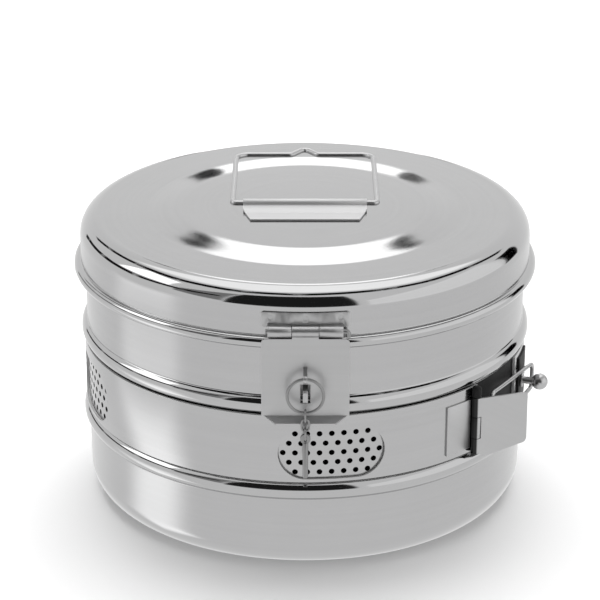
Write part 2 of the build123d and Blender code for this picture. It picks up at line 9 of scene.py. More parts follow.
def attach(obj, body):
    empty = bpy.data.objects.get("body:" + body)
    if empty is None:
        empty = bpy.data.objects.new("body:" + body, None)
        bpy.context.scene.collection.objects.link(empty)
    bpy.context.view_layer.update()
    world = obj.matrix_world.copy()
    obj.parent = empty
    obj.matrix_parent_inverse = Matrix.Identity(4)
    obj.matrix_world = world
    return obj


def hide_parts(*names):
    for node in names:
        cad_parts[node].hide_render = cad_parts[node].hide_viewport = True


# Looks of the sterilization drum. Lengths are written in millimetres and scaled by MM.
# An azimuth is measured in degrees from the front (-Y) towards the right (+X).
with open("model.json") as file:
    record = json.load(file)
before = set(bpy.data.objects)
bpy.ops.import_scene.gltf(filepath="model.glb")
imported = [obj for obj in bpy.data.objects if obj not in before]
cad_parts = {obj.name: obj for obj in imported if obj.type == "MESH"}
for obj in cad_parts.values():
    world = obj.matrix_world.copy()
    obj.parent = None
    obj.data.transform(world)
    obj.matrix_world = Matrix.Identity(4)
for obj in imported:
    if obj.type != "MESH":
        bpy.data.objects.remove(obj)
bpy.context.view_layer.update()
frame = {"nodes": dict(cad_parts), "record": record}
MM = 0.001

# ---- Sizes of the turned shells ----
SHEET = 0.8
DRUM_RADIUS = 120.0
DRUM_RIM_Z = 151.0
RIM_ROLL_RADIUS = 1.7
BASE_CORNER_RADIUS = 15.0
BASE_PANEL_RADIUS = 88.0
BASE_PANEL_RISE = 2.0
BASE_PANEL_SLOPE = 5.0
BEAD_HEIGHT = 10.0
BEAD_DEPTH = 3.0
BEAD_LEVELS = (46.4, 94.7)
BEAD_BLEND = 1.2
LID_RADIUS = 122.5
LID_SKIRT_Z = 126.9
LID_FLAT_Z = 158.2
LID_SHOULDER_RADIUS = 10.9
LID_BEAD_Z = 130.65
LID_BEAD_HEIGHT = 6.5
LID_BEAD_DEPTH = 3.6
LID_BEAD_BLEND = 0.5
PLATEAU_RISE = 1.8
PLATEAU_RADIUS = 65.0
PLATEAU_FOOT_RADIUS = 87.0

# ---- Steam holes and shutter band ----
HOLE_RADIUS = 1.5
HOLE_PITCH = 6.3
HOLE_ROW_PITCH = 5.4
HOLE_ROWS = (7, 8, 9, 8, 7)
FIELD_Z = 68.0
FIELD_AZIMUTHS = (6.5, -73.5, -153.5, 126.5)
BAND_INNER = 120.2
BAND_OUTER = 121.6
BAND_LOW = 51.9
BAND_HIGH = 89.2
BAND_EDGE_ROUND = 0.25
WINDOW_LENGTH = 55.5
WINDOW_HEIGHT = 28.6
GAP_AZIMUTHS = (48.0, 68.5)

# ---- Hasp ----
HASP_INNER = 126.4
HASP_SHEET = 1.0
HASP_WIDTH = 44.6
HASP_TOP = 134.6
HASP_BOTTOM = 92.5
HASP_CORNER = 2.5
HASP_PIN_Z = 138.0
HASP_PIN_REACH = 125.8
HASP_KNUCKLE_LENGTH = 13.4
KNUCKLE_RADIUS = 3.0
PIN_BORE = 1.35
LIP_ANGLE = 68.0
LIP_LENGTH = 5.6
LIP_ROOT = 42.0
LIP_EDGE = 30.0
SLOT_WIDTH = 5.0
SLOT_HEIGHT = 10.4
SLOT_Z = 104.5

# ---- Clamp ----
CLAMP_AZIMUTH = 46.3
CLAMP_REACH = 124.25
CLAMP_KNUCKLE_RADIUS = 2.6
KNUCKLE_GAP = 0.3
MIDDLE_LOW = 61.0
MIDDLE_HIGH = 73.0
LEVER_LOW = 49.5
LEVER_HIGH = 78.5
LEVER_HINGE_HIGH = 84.0
LEVER_LENGTH = 34.5
LEVER_FOOT_RELIEF = 5.0    # clears the lower bead when the lever is folded right back
LEVER_SHEET = 1.2
LEVER_CORNER = 2.5
LEVER_STAND_OFF = 8.0
LOOP_PIVOT = 11.0
STUD_Z = 71.0
TUNNEL_RADIUS = 2.15
TUNNEL_BORE = 1.15
TUNNEL_WELD = 0.5
TUNNEL_HEIGHT = 8.5
PIN_RADIUS = 1.3
PIN_HEAD_RADIUS = 2.5
PIN_HEAD_HEIGHT = 6.0
PIN_HEAD_ROUND = 1.6
PIN_BODY = "shutter"

LATHE_STEPS = 360
HOLE_STEPS = 24


# ---------------------------------------------------------------- mesh helpers
def arc(centre, radius, start, end, steps):
    """Points on an arc in the (radius, height) half plane, angles in degrees."""
    points = []
    for i in range(steps + 1):
        a = math.radians(start + (end - start) * i / steps)
        points.append((centre[0] + radius * math.cos(a), centre[1] + radius * math.sin(a)))
    return points


def add_mesh(name, bm, body, node, sharp_angle=35.0):
    """Link a mesh as a smooth-shaded piece that rides on a body and stands for a CAD node."""
    bmesh.ops.recalc_face_normals(bm, faces=bm.faces)
    mesh = bpy.data.meshes.new(name)
    bm.to_mesh(mesh)
    bm.free()
    mesh.shade_smooth()
    mesh.set_sharp_from_angle(angle=math.radians(sharp_angle))
    piece = bpy.data.objects.new(name, mesh)
    bpy.context.scene.collection.objects.link(piece)
    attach(piece, body)
    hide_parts(node)
    return piece


def lathe(points, steps=LATHE_STEPS):
    """Turn a closed (radius, height) outline in millimetres about Z."""
    bm = bmesh.new()
    rings = []
    for radius, height in points:
        if radius < 1e-6:
            rings.append([bm.verts.new((0, 0, height * MM))])
            continue
        ring = []
        for i in range(steps):
            a = 2 * math.pi * i / steps
            ring.append(bm.verts.new((radius * MM * math.sin(a), -radius * MM * math.cos(a),
                                      height * MM)))
        rings.append(ring)
    for lower, upper in zip(rings, rings[1:] + rings[:1]):
        if len(lower) == 1 and len(upper) == 1:
            continue
        for i in range(steps):
            j = (i + 1) % steps
            corners = [lower[i % len(lower)], lower[j % len(lower)],
                       upper[j % len(upper)], upper[i % len(upper)]]
            corners = list(dict.fromkeys(corners))
            bm.faces.new(corners)
    return bm


def radial_frame(azimuth, radius, height):
    """Matrix on a cylinder round the drum: X is tangential, Y is up and Z points outwards."""
    a = math.radians(azimuth)
    outwards = Vector((math.sin(a), -math.cos(a), 0))
    matrix = Matrix((Vector((math.cos(a), math.sin(a), 0)), Vector((0, 0, 1)), outwards)).transposed()
    return Matrix.Translation(outwards * radius * MM + Vector((0, 0, height * MM))) @ matrix.to_4x4()


def rectangle(left, right, low, high):
    return [(left, low), (right, low), (right, high), (left, high)]


def prism(bm, outline, depth, matrix):
    """Add a closed prism: an outline in the frame's XY plane, pushed along its Z."""
    low = [bm.verts.new(matrix @ Vector((x * MM, y * MM, 0))) for x, y in outline]
    high = [bm.verts.new(matrix @ Vector((x * MM, y * MM, depth * MM))) for x, y in outline]
    bm.faces.new(low[::-1])
    bm.faces.new(high)
    for i in range(len(outline)):
        j = (i + 1) % len(outline)
        bm.faces.new((low[i], low[j], high[j], high[i]))


def combine(first, second, operation="DIFFERENCE"):
    """Exact boolean of two closed meshes."""
    meshes = []
    for source in (first, second):
        bmesh.ops.recalc_face_normals(source, faces=source.faces)
        mesh = bpy.data.meshes.new("work")
        source.to_mesh(mesh)
        source.free()
        meshes.append(mesh)
    target = bpy.data.objects.new("target", meshes[0])
    cutter = bpy.data.objects.new("cutter", meshes[1])
    for o in (target, cutter):
        bpy.context.scene.collection.objects.link(o)
    modifier = target.modifiers.new("cut", "BOOLEAN")
    modifier.operation = operation
    modifier.solver = "EXACT"
    modifier.object = cutter
    depsgraph = bpy.context.evaluated_depsgraph_get()
    result = bmesh.new()
    result.from_object(target, depsgraph)
    for o in (target, cutter):
        bpy.data.objects.remove(o)
    return result


def block(outline, depth, matrix):
    bm = bmesh.new()
    prism(bm, outline, depth, matrix)
    return bm


def rod(radius, low, high, matrix):
    """Round bar along the Z of a frame, from low to high in millimetres."""
    return block(circle(radius, 40), high - low, matrix @ Matrix.Translation((0, 0, low * MM)))


def soften_edges(piece, width=0.15):
    edges = piece.modifiers.new("edges", "BEVEL")
    edges.width = width * MM
    edges.segments = 2
    edges.limit_method = "ANGLE"
    edges.angle_limit = math.radians(32)
    edges.harden_normals = True


# ---------------------------------------------------------------- turned shells
def bead(wall, middle, height, depth, blend, inset):
    """Points up one surface of a swaged bead: a crest arc blended into the wall with small arcs."""
    crest = (height ** 2 / 4 + depth ** 2) / (2 * depth)
    centre = wall + depth - crest
    crest_radius = crest - inset
    foot_radius = blend + inset
    surface = wall - inset
    rise = math.sqrt((crest_radius + foot_radius) ** 2 - (surface + foot_radius - centre) ** 2)
    turn = math.degrees(math.atan2(rise, surface + foot_radius - centre))
    points = arc((surface + foot_radius, middle - rise), foot_radius, 180, 180 - turn, 5)
    points += arc((centre, middle), crest_radius, -turn, turn, 14)[1:]
    points += arc((surface + foot_radius, middle + rise), foot_radius, 180 + turn, 180, 5)[1:]
    return points


def drum_side(inset):
    """One surface of the drum from the middle of its base to the roll at its mouth."""
    centre = DRUM_RADIUS - BASE_CORNER_RADIUS
    points = [(0, BASE_PANEL_RISE + inset), (BASE_PANEL_RADIUS, BASE_PANEL_RISE + inset),
              (BASE_PANEL_RADIUS + BASE_PANEL_SLOPE, inset)]
    points += arc((centre, BASE_CORNER_RADIUS), BASE_CORNER_RADIUS - inset, -90, 0, 20)
    for level in BEAD_LEVELS:
        points += bead(DRUM_RADIUS, level, BEAD_HEIGHT, BEAD_DEPTH, BEAD_BLEND, inset)
    roll = RIM_ROLL_RADIUS - inset
    points += arc((DRUM_RADIUS - RIM_ROLL_RADIUS, DRUM_RIM_Z - RIM_ROLL_RADIUS), roll, 0, 180, 12)
    return points


def lid_side(inset):
    """One surface of the lid from the middle of its top to the edge of its skirt."""
    flat = LID_FLAT_Z - inset
    centre = LID_RADIUS - LID_SHOULDER_RADIUS
    points = [(0, flat + PLATEAU_RISE)]
    run = PLATEAU_FOOT_RADIUS - PLATEAU_RADIUS
    steps = 24
    for i in range(steps + 1):
        t = i / steps
        eased = t * t * (3 - 2 * t)
        share = 0.55 * t + 0.45 * eased
        points.append((PLATEAU_RADIUS + run * t, flat + PLATEAU_RISE * (1 - share)))
    points += arc((centre, LID_FLAT_Z - LID_SHOULDER_RADIUS), LID_SHOULDER_RADIUS - inset, 90, 0, 24)
    points += bead(LID_RADIUS, LID_BEAD_Z, LID_BEAD_HEIGHT, LID_BEAD_DEPTH, LID_BEAD_BLEND, inset)[::-1]
    points.append((LID_RADIUS - inset, LID_SKIRT_Z))
    return points


def circle(radius, steps=HOLE_STEPS):
    return [(radius * math.cos(2 * math.pi * i / steps), radius * math.sin(2 * math.pi * i / steps))
            for i in range(steps)]


def slot_outline(length, height, steps=24):
    half = (length - height) / 2
    return arc((half, 0), height / 2, -90, 90, steps) + arc((-half, 0), height / 2, 90, 270, steps)


def steam_hole_cutters():
    """One closed drill for each steam hole, in staggered rows."""
    bm = bmesh.new()
    step = math.degrees(HOLE_PITCH / DRUM_RADIUS)
    top = FIELD_Z + HOLE_ROW_PITCH * (len(HOLE_ROWS) - 1) / 2
    for field in FIELD_AZIMUTHS:
        for row, count in enumerate(HOLE_ROWS):
            for column in range(count):
                azimuth = field + step * (column - (count - 1) / 2)
                matrix = radial_frame(azimuth, DRUM_RADIUS - 3 * SHEET, top - HOLE_ROW_PITCH * row)
                prism(bm, circle(HOLE_RADIUS), 6 * SHEET, matrix)
    return bm


def drum_body():
    outline = drum_side(0) + drum_side(SHEET)[::-1]
    body = combine(lathe(outline), steam_hole_cutters())
    piece = add_mesh("drum_body", body, "drum", "drum_shell")
    piece.data.materials.append(sheet_steel)
    piece.data.materials.append(painted_shade_steel)
    # Painted shade: the drum's outer wall in the band's gap behind the clamp takes the near-black steel.
    start, end = GAP_AZIMUTHS
    for face in piece.data.polygons:
        x, y, z = face.center / MM
        azimuth = math.degrees(math.atan2(x, -y))
        shaded_behind_clamp = start < azimuth < end and BAND_LOW < z < BAND_HIGH
        if shaded_behind_clamp and math.hypot(x, y) > DRUM_RADIUS - SHEET / 2:
            face.material_index = 1
    return piece


def lid_dome():
    outline = lid_side(0) + lid_side(SHEET)[::-1]
    return add_mesh("lid_dome", lathe(outline), "lid", "lid_shell")


def window_band():
    """The shutter band with rolled edges, its four windows and the gap under the clamp."""
    middle = (BAND_INNER + BAND_OUTER) / 2
    half = (BAND_OUTER - BAND_INNER) / 2
    r = BAND_EDGE_ROUND
    outline = []
    for centre, start in (((middle + half - r, BAND_LOW + r), -90),
                          ((middle + half - r, BAND_HIGH - r), 0),
                          ((middle - half + r, BAND_HIGH - r), 90),
                          ((middle - half + r, BAND_LOW + r), 180)):
        outline += arc(centre, r, start, start + 90, 3)
    cutters = bmesh.new()
    for azimuth in FIELD_AZIMUTHS:
        prism(cutters, slot_outline(WINDOW_LENGTH, WINDOW_HEIGHT), 12,
              radial_frame(azimuth, BAND_INNER - 8, FIELD_Z))
    start, end = GAP_AZIMUTHS
    sector = []
    steps = 8
    for radius, order in ((BAND_INNER - 3, range(steps + 1)), (BAND_OUTER + 3, range(steps, -1, -1))):
        for i in order:
            a = math.radians(start + (end - start) * i / steps)
            sector.append((radius * math.sin(a), -radius * math.cos(a)))
    prism(cutters, sector, BAND_HIGH - BAND_LOW + 4, Matrix.Translation((0, 0, (BAND_LOW - 2) * MM)))
    piece = add_mesh("window_band", combine(lathe(outline), cutters), "shutter", "shutter_band")
    piece.data.materials.append(sheet_steel)
    piece.data.materials.append(cut_edge_steel)
    for face in piece.data.polygons:
        x, y, _ = face.center
        outwards = Vector((x, y, 0)).normalized()
        face.material_index = 1 if abs(face.normal.dot(outwards)) < 0.6 else 0
    return piece


# ---------------------------------------------------------------- hasp and clamp
def hasp_front():
    """The hasp with its knuckle and slot, and a lip that is turned well out and narrows to its edge."""
    front = radial_frame(0, HASP_INNER, 0)
    half = HASP_WIDTH / 2
    corner = HASP_CORNER
    outline = [(-half, HASP_BOTTOM), (half, HASP_BOTTOM)]
    outline += arc((half - corner, HASP_TOP - corner), corner, 0, 90, 6)
    outline += arc((corner - half, HASP_TOP - corner), corner, 90, 180, 6)
    plate = block(outline, HASP_SHEET, front)
    tongue = HASP_KNUCKLE_LENGTH / 2
    plate = combine(plate, block(rectangle(-tongue, tongue, HASP_TOP - 2, HASP_PIN_Z), HASP_SHEET,
                                 front), "UNION")
    along_x = Matrix.Translation((0, -HASP_PIN_REACH * MM, HASP_PIN_Z * MM)) @ Matrix.Rotation(
        math.pi / 2, 4, "Y")
    plate = combine(plate, rod(KNUCKLE_RADIUS, -tongue, tongue, along_x), "UNION")
    lip = bmesh.new()
    angle = math.radians(LIP_ANGLE)
    reach, drop = LIP_LENGTH * math.sin(angle), LIP_LENGTH * math.cos(angle)
    under = (HASP_SHEET * math.cos(angle), HASP_SHEET * math.sin(angle))
    outer = HASP_INNER + HASP_SHEET
    rings = []
    for radius, height, width in (
            (HASP_INNER, HASP_BOTTOM, LIP_ROOT), (outer, HASP_BOTTOM, LIP_ROOT),
            (outer + reach, HASP_BOTTOM - drop, LIP_EDGE),
            (outer + reach - under[0], HASP_BOTTOM - drop - under[1], LIP_EDGE),
            (HASP_INNER, HASP_BOTTOM - HASP_SHEET * math.tan(angle / 2), LIP_ROOT)):
        rings.append([lip.verts.new((side * width / 2 * MM, -radius * MM, height * MM))
                      for side in (-1, 1)])
    for this, following in zip(rings, rings[1:] + rings[:1]):
        lip.faces.new((this[0], this[1], following[1], following[0]))
    for side in (0, 1):
        lip.faces.new([ring[side] for ring in rings])
    plate = combine(plate, lip, "UNION")
    slot = block(rectangle(-SLOT_WIDTH / 2, SLOT_WIDTH / 2, SLOT_Z - SLOT_HEIGHT / 2,
                           SLOT_Z + SLOT_HEIGHT / 2),
                 3 * HASP_SHEET, radial_frame(0, HASP_INNER - HASP_SHEET, 0))
    plate = combine(plate, slot)
    plate = combine(plate, rod(PIN_BORE, -tongue - 1, tongue + 1, along_x))
    return add_mesh("hasp_front", plate, "hasp", "hasp_plate")


def lever_frame(along, outwards):
    """Frame of the lever's hinge pin: X along the lever, Y up and Z away from the drum."""
    heading = math.radians(CLAMP_AZIMUTH - LEVER_STAND_OFF)
    azimuth = math.radians(CLAMP_AZIMUTH)
    axis = Vector((math.sin(azimuth), -math.cos(azimuth), 0)) * CLAMP_REACH
    x_axis = Vector((math.cos(heading), math.sin(heading), 0))
    z_axis = Vector((math.sin(heading), -math.cos(heading), 0))
    matrix = Matrix((x_axis, Vector((0, 0, 1)), z_axis)).transposed().to_4x4()
    return Matrix.Translation((axis + x_axis * along + z_axis * outwards) * MM) @ matrix


def clamp_axis_frame(along=0.0, outwards=0.0):
    return Matrix.Translation(lever_frame(along, outwards).translation)


def lever_plate():
    """Flat lever that is tallest at its hinge, with two knuckles and the tunnel of the draw loop."""
    c = LEVER_CORNER
    outline = [(0, BAND_LOW + KNUCKLE_GAP), (LEVER_FOOT_RELIEF, LEVER_LOW)]
    outline += arc((LEVER_LENGTH - c, LEVER_LOW + c), c, -90, 0, 6)
    outline += arc((LEVER_LENGTH - c, LEVER_HIGH - c), c, 0, 80, 6)
    outline += [(0, LEVER_HINGE_HIGH)]
    inner = CLAMP_KNUCKLE_RADIUS - LEVER_SHEET
    plate = block(outline, LEVER_SHEET, lever_frame(0, inner))
    pin = clamp_axis_frame()
    plate = combine(plate, rod(CLAMP_KNUCKLE_RADIUS + KNUCKLE_GAP, MIDDLE_LOW - KNUCKLE_GAP,
                               MIDDLE_HIGH + KNUCKLE_GAP, pin))
    for low, high in ((BAND_LOW + KNUCKLE_GAP, MIDDLE_LOW - KNUCKLE_GAP),
                      (MIDDLE_HIGH + KNUCKLE_GAP, LEVER_HINGE_HIGH)):
        plate = combine(plate, rod(CLAMP_KNUCKLE_RADIUS, low, high, pin), "UNION")
    tunnel = clamp_axis_frame(LOOP_PIVOT, inner - TUNNEL_RADIUS + TUNNEL_WELD)
    plate = combine(plate, rod(TUNNEL_RADIUS, STUD_Z - TUNNEL_HEIGHT / 2, STUD_Z + TUNNEL_HEIGHT / 2,
                               tunnel), "UNION")
    plate = combine(plate, rod(TUNNEL_BORE, STUD_Z - TUNNEL_HEIGHT, STUD_Z + TUNNEL_HEIGHT, tunnel))
    plate = combine(plate, rod(PIN_BORE, 0, LID_FLAT_Z, pin))
    return add_mesh("lever_plate", plate, "lever", "clamp_lever")


def clamp_pin():
    """Hinge pin with a tall domed head that stands on the lever's upper knuckle."""
    foot = LEVER_HINGE_HIGH + KNUCKLE_GAP
    top = foot + PIN_HEAD_HEIGHT
    r = PIN_HEAD_ROUND
    outline = [(0, BAND_LOW + KNUCKLE_GAP), (PIN_RADIUS, BAND_LOW + KNUCKLE_GAP), (PIN_RADIUS, foot),
               (PIN_HEAD_RADIUS, foot)]
    outline += arc((PIN_HEAD_RADIUS - r, top - r), r, 0, 90, 8)
    outline += [(0, top)]
    bm = lathe(outline, 48)
    bmesh.ops.translate(bm, verts=bm.verts, vec=clamp_axis_frame().translation)
    return add_mesh("clamp_pin", bm, PIN_BODY, "clamp_hinge_pin")


# ---------------------------------------------------------------- materials
# Painted shade in the clamp's hinge gap: its reach from the hinge axis, its run along the lever and its
# near-black colour.
HINGE_SHADE_REACH = (2.9, 3.5)
HINGE_SHADE_RUN = (-1.5, -0.7)
HINGE_SHADE_COLOUR = (0.03, 0.03, 0.03)
UPRIGHT_RANGE = (0.05, 0.22)
MOTTLE_SPREAD = 0.07
FINE_GRAIN_SCALES = (9.0, 9.0, 5200.0)
BROAD_GRAIN_SCALES = (4.0, 4.0, 420.0)
FINE_BUMP_DISTANCE = 0.00001
BROAD_BUMP_DISTANCE = 0.0006
BROAD_BUMP_STRENGTH = 0.2


def node_tree(name):
    material = bpy.data.materials.new(name)
    material.use_nodes = True
    tree = material.node_tree
    shader = tree.nodes["Principled BSDF"]
    return material, tree, shader


def math_node(tree, operation, a, b=None, clamp=False):
    node = tree.nodes.new("ShaderNodeMath")
    node.operation = operation
    node.use_clamp = clamp
    for socket, value in zip(node.inputs, (a, b)):
        if value is None:
            continue
        if isinstance(value, (int, float)):
            socket.default_value = value
        else:
            tree.links.new(value, socket)
    return node.outputs[0]


def product(tree, a, b):
    return math_node(tree, "MULTIPLY", a, b)


def total(tree, a, b):
    return math_node(tree, "ADD", a, b)


def length(tree, x, y):
    """Length of a vector in the XY plane."""
    return math_node(tree, "SQRT", total(tree, product(tree, x, x), product(tree, y, y)))


def noise(tree, vector, scale, detail=4.0, roughness=0.55):
    node = tree.nodes.new("ShaderNodeTexNoise")
    node.inputs["Scale"].default_value = scale
    node.inputs["Detail"].default_value = detail
    node.inputs["Roughness"].default_value = roughness
    tree.links.new(vector, node.inputs["Vector"])
    return node.outputs[0]


def map_range(tree, value, low, high):
    node = tree.nodes.new("ShaderNodeMapRange")
    node.inputs["To Min"].default_value = low
    node.inputs["To Max"].default_value = high
    tree.links.new(value, node.inputs["Value"])
    return node.outputs[0]


def blend_colours(tree, factor, first, second):
    node = tree.nodes.new("ShaderNodeMix")
    node.data_type = "RGBA"
    for socket, colour in ((node.inputs[6], first), (node.inputs[7], second)):
        if isinstance(colour, tuple):
            socket.default_value = (*colour, 1)
        else:
            tree.links.new(colour, socket)
    tree.links.new(factor, node.inputs[0])
    return node.outputs[2]


def ramp_range(tree, value, start, end, low=0.0, high=1.0):
    """Smooth step of a value from start to end, given as low to high."""
    node = tree.nodes.new("ShaderNodeMapRange")
    node.interpolation_type = "SMOOTHSTEP"
    for name, number in (("From Min", start), ("From Max", end), ("To Min", low), ("To Max", high)):
        node.inputs[name].default_value = number
    tree.links.new(value, node.inputs["Value"])
    return node.outputs[0]


def scaled_place(tree, x, y, z, scales):
    node = tree.nodes.new("ShaderNodeCombineXYZ")
    for socket, value, scale in zip(node.inputs, (x, y, z), scales):
        tree.links.new(product(tree, value, scale), socket)
    return node.outputs[0]


def hinge_painted_shade(tree, x, y, colour):
    """Painted shade down the drum's side of the clamp's hinge gap, by place on the steel."""
    hinge = lever_frame(0, 0)
    axis, along = hinge.translation, hinge.col[0]
    shift_x = math_node(tree, "SUBTRACT", x, axis.x)
    shift_y = math_node(tree, "SUBTRACT", y, axis.y)
    run = total(tree, product(tree, shift_x, along.x), product(tree, shift_y, along.y))
    distance = length(tree, shift_x, shift_y)
    reach_start, reach_end = HINGE_SHADE_REACH
    run_start, run_end = HINGE_SHADE_RUN
    hinge_shade_mask = product(tree, ramp_range(tree, distance, reach_start * MM, reach_end * MM, 1.0, 0.0),
                   ramp_range(tree, run, run_start * MM, run_end * MM, 1.0, 0.0))
    return blend_colours(tree, hinge_shade_mask, colour, HINGE_SHADE_COLOUR)


def steel(name, tone, satin, polish, grain, turned=False, shade_hinge=False, metallic=1.0, specular=0.5):
    """Stainless steel: satin on upright faces, polished elsewhere, with grain and smudges.

    A turned piece has its grain round the drum's axis; on other pieces it runs along X."""
    material, tree, shader = node_tree(name)
    coordinates = tree.nodes.new("ShaderNodeTexCoord")
    place = coordinates.outputs["Object"]
    parts = tree.nodes.new("ShaderNodeSeparateXYZ")
    tree.links.new(place, parts.inputs[0])
    x, y, z = parts.outputs
    facing = tree.nodes.new("ShaderNodeSeparateXYZ")
    tree.links.new(coordinates.outputs["Normal"], facing.inputs[0])
    upright = ramp_range(tree, math_node(tree, "ABSOLUTE", facing.outputs[2]), *UPRIGHT_RANGE, 1.0, 0.0)
    if turned:
        across = total(tree, length(tree, x, y), z)
    else:
        across = total(tree, y, z)
    fine = noise(tree, scaled_place(tree, x, y, across, FINE_GRAIN_SCALES), 1.0, 2.0)
    bands = noise(tree, scaled_place(tree, x, y, across, BROAD_GRAIN_SCALES), 1.0, 3.0)
    smudge = noise(tree, place, 34.0, 5.0, 0.62)
    wave = noise(tree, place, 7.0, 1.0, 0.4)
    mottle = total(tree, product(tree, bands, 0.55), product(tree, smudge, 0.45))
    dark = tuple(channel * (1 - MOTTLE_SPREAD) for channel in tone)
    light = tuple(channel * (1 + MOTTLE_SPREAD) for channel in tone)
    colour = blend_colours(tree, mottle, dark, light)
    shader.inputs["Metallic"].default_value = metallic
    shader.inputs["Specular IOR Level"].default_value = specular
    # Painted shade: the hinge gap is darkened in the base colour.
    if shade_hinge:
        colour = hinge_painted_shade(tree, x, y, colour)
    tree.links.new(colour, shader.inputs["Base Color"])
    base_roughness = total(tree, product(tree, upright, satin - polish), polish)
    spread = total(tree, product(tree, smudge, 0.5), 0.75)
    tree.links.new(product(tree, base_roughness, spread), shader.inputs["Roughness"])
    fine_bump = tree.nodes.new("ShaderNodeBump")
    fine_bump.inputs["Strength"].default_value = grain
    fine_bump.inputs["Distance"].default_value = FINE_BUMP_DISTANCE
    tree.links.new(fine, fine_bump.inputs["Height"])
    broad_bump = tree.nodes.new("ShaderNodeBump")
    broad_bump.inputs["Strength"].default_value = BROAD_BUMP_STRENGTH
    broad_bump.inputs["Distance"].default_value = BROAD_BUMP_DISTANCE
    tree.links.new(wave, broad_bump.inputs["Height"])
    tree.links.new(fine_bump.outputs[0], broad_bump.inputs["Normal"])
    tree.links.new(broad_bump.outputs[0], shader.inputs["Normal"])
    return material


def card_material(strength):
    """Emission that fades to nothing at a card's rim; strength 0 is black velvet."""
    material = bpy.data.materials.new("card_%03d" % round(strength * 100))
    material.use_nodes = True
    tree = material.node_tree
    tree.nodes.remove(tree.nodes["Principled BSDF"])
    core = tree.nodes.new("ShaderNodeAttribute")
    core.attribute_name = "core"
    glow = tree.nodes.new("ShaderNodeEmission")
    glow.inputs["Strength"].default_value = strength
    clear = tree.nodes.new("ShaderNodeBsdfTransparent")
    mix = tree.nodes.new("ShaderNodeMixShader")
    tree.links.new(ramp_range(tree, core.outputs["Fac"], 0.0, 1.0), mix.inputs["Fac"])
    tree.links.new(clear.outputs[0], mix.inputs[1])
    tree.links.new(glow.outputs[0], mix.inputs[2])
    tree.links.new(mix.outputs[0], tree.nodes["Material Output"].inputs["Surface"])
    return material


# ---------------------------------------------------------------- studio
CENTRE = Vector((-0.0027, 0, 0.1040))
CARD_DISTANCE = 20.0
MARK_DISTANCE = 19.6
WALLS = {
    "top": (Vector((0, 0, 1)), Vector((1, 0, 0)), Vector((0, 1, 0))),
    "front": (Vector((0, -1, 0)), Vector((1, 0, 0)), Vector((0, 0, 1))),
    "back": (Vector((0, 1, 0)), Vector((1, 0, 0)), Vector((0, 0, 1))),
    "left": (Vector((-1, 0, 0)), Vector((0, 1, 0)), Vector((0, 0, 1))),
    "right": (Vector((1, 0, 0)), Vector((0, 1, 0)), Vector((0, 0, 1))),
}


def direction(azimuth, elevation):
    a, e = math.radians(azimuth), math.radians(elevation)
    return Vector((math.sin(a) * math.cos(e), -math.cos(a) * math.cos(e), math.sin(e)))


def card(name, wall, corners, strength, rim, distance=CARD_DISTANCE):
    """Flat card on one side of the studio that only reflections see.

    Corners are the tangents of its angles from the drum; rim is the share that fades out."""
    outwards, across, up = WALLS[wall]
    middle_u = sum(u for u, _ in corners) / len(corners)
    middle_v = sum(v for _, v in corners) / len(corners)
    bm = bmesh.new()
    layer = bm.verts.layers.float.new("core")
    rings = []
    for share, core in ((1.0, 0.0), (1.0 - rim, 1.0)):
        ring = []
        for u, v in corners:
            u, v = middle_u + (u - middle_u) * share, middle_v + (v - middle_v) * share
            vertex = bm.verts.new((outwards + across * u + up * v) * distance)
            vertex[layer] = core
            ring.append(vertex)
        rings.append(ring)
    bm.faces.new(rings[1])
    for i in range(len(corners)):
        j = (i + 1) % len(corners)
        bm.faces.new((rings[0][i], rings[0][j], rings[1][j], rings[1][i]))
    mesh = bpy.data.meshes.new(name)
    bm.to_mesh(mesh)
    bm.free()
    mesh.materials.append(card_material(strength))
    piece = bpy.data.objects.new(name, mesh)
    bpy.context.scene.collection.objects.link(piece)
    piece.location = CENTRE
    piece.visible_camera = False
    piece.visible_diffuse = False
    piece.visible_transmission = False
    piece.visible_shadow = False
    return piece


def strip_card(name, wall, points, width, strength):
    """Narrow card along a row of points."""
    for number, ((u0, v0), (u1, v1)) in enumerate(zip(points, points[1:])):
        run = math.hypot(u1 - u0, v1 - v0)
        across_u, across_v = (v0 - v1) / run * width / 2, (u1 - u0) / run * width / 2
        extra_u, extra_v = (u1 - u0) / run * width / 4, (v1 - v0) / run * width / 4
        u0, v0, u1, v1 = u0 - extra_u, v0 - extra_v, u1 + extra_u, v1 + extra_v
        corners = [(u0 + across_u, v0 + across_v), (u1 + across_u, v1 + across_v),
                   (u1 - across_u, v1 - across_v), (u0 - across_u, v0 - across_v)]
        card("%s_%d" % (name, number), wall, corners, strength, 0.3)


def soft_lamp(name, azimuth, elevation, size, power):
    """Area lamp for the floor; reflections see the cards instead."""
    lamp = bpy.data.lights.new(name, "AREA")
    lamp.size = size
    lamp.energy = power
    piece = bpy.data.objects.new(name, lamp)
    bpy.context.scene.collection.objects.link(piece)
    away = direction(azimuth, elevation)
    piece.location = CENTRE + away * 3.0
    piece.rotation_euler = away.to_track_quat("Z", "Y").to_euler()
    piece.visible_camera = False
    piece.visible_glossy = False


def white_world():
    """White for the camera and for reflections, softer for the light it gives."""
    world = bpy.data.worlds.new("studio")
    bpy.context.scene.world = world
    world.use_nodes = True
    tree = world.node_tree
    background = tree.nodes["Background"]
    background.inputs["Color"].default_value = (1, 1, 1, 1)
    path = tree.nodes.new("ShaderNodeLightPath")
    seen = math_node(tree, "ADD", path.outputs["Is Camera Ray"], path.outputs["Is Glossy Ray"])
    seen = math_node(tree, "ADD", seen, path.outputs["Is Transmission Ray"], clamp=True)
    tree.links.new(map_range(tree, seen, 0.65, 1.0), background.inputs["Strength"])


